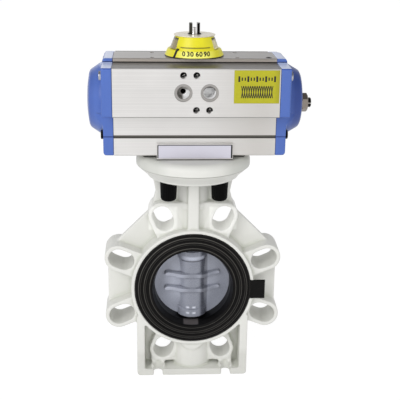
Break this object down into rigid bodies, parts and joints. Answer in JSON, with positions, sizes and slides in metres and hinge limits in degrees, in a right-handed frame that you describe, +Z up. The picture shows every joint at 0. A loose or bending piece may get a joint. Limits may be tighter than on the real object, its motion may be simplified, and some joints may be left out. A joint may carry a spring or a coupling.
{
  "type": "pneumatic butterfly valve actuator assembly",
  "caption": "Spring-return rack-and-pinion pneumatic actuator with blue domed end caps and a yellow position indicator, bolted on a lugged butterfly valve with a rubber liner and a foot.",
  "frame": {"origin": "centre of the valve's flow passage, on the stem's axis", "axes": "+Z up along the stem and the pinion, X along the actuator's cylinder with the stop screw at +X, Y along the flow with the ports and plates on the -Y side"},
  "size_m": [0.2151, 0.112, 0.359],
  "materials": {
    "valve_plastic": "satin",
    "liner_rubber": "matt",
    "bearing_plastic": "smooth",
    "zinc_steel": "zinc plated",
    "cap_plastic": "ribbed, matt",
    "stem_steel": "ground",
    "seal_rubber": "smooth",
    "clip_steel": "phosphated",
    "disc_plastic": "moulded",
    "body_aluminium": "extruded and anodised",
    "cap_paint": "smooth coat",
    "pinion_steel": "nickel plated",
    "piston_aluminium": "cast and turned",
    "spring_steel": "coated",
    "stop_steel": "blackened",
    "indicator_yellow": "moulded",
    "indicator_clear": "clear, pale",
    "indicator_plate": "satin",
    "mark_black": "printed",
    "nameplate_aluminium": "satin",
    "label_yellow": "vinyl"
  },
  "bodies": {
    "housing": {"valve_body": "valve_plastic", "valve_liner": "liner_rubber", "lower_stem_bush": "bearing_plastic", "middle_stem_bush": "bearing_plastic", "upper_stem_bush": "bearing_plastic", "adapter_plate": "valve_plastic", "flange_bolts": "zinc_steel", "bolt_caps": "cap_plastic", "actuator_body": "body_aluminium", "left_end_cap": "cap_paint", "right_end_cap": "cap_paint", "left_cap_seal": "seal_rubber", "right_cap_seal": "seal_rubber", "left_cap_screws": "zinc_steel", "right_cap_screws": "zinc_steel", "lower_pinion_bush": "bearing_plastic", "upper_pinion_bush": "bearing_plastic", "thrust_washer": "bearing_plastic", "left_spring": "spring_steel", "right_spring": "spring_steel", "stop_screw": "stop_steel", "stop_lock_nut": "zinc_steel", "stop_seal_washer": "seal_rubber", "pad_plug": "stop_steel", "nameplate": "nameplate_aluminium", "spring_label": "label_yellow"},
    "rotor": {"pinion": "pinion_steel", "drive_insert": "zinc_steel", "stem": "stem_steel", "stem_o_rings": "seal_rubber", "stem_circlip": "clip_steel", "disc": "disc_plastic", "disc_key": "stem_steel", "pinion_o_rings": "seal_rubber", "pinion_circlip": "clip_steel", "indicator_housing": "indicator_yellow", "indicator_windows": "indicator_clear", "indicator_top_plate": "indicator_plate", "indicator_ring": "mark_black", "indicator_marks": "mark_black"},
    "left_piston": {"left_piston": "piston_aluminium", "left_piston_o_ring": "seal_rubber", "left_piston_guides": "bearing_plastic"},
    "right_piston": {"right_piston": "piston_aluminium", "right_piston_o_ring": "seal_rubber", "right_piston_guides": "bearing_plastic"}
  },
  "joints": [
    {"name": "rotor_turn", "type": "hinge", "parent": "housing", "child": "rotor", "pos_m": [0, 0, 0.19], "axis": [0, 0, 1], "range_deg": [0, 90], "stiffness_Nm_per_rad": 1.7, "springref_deg": -139.8},
    {"name": "right_piston_slide", "type": "slide", "parent": "housing", "child": "right_piston", "axis": [1, 0, 0], "range_m": [0, 0.0213], "deforming": ["right_spring"]},
    {"name": "left_piston_slide", "type": "slide", "parent": "housing", "child": "left_piston", "axis": [-1, 0, 0], "range_m": [0, 0.0213], "deforming": ["left_spring"]}
  ],
  "couplings": [
    {"joint": "right_piston_slide", "follows": "rotor_turn", "m_per_rad": 0.0135},
    {"joint": "left_piston_slide", "follows": "rotor_turn", "m_per_rad": 0.0135}
  ]
}
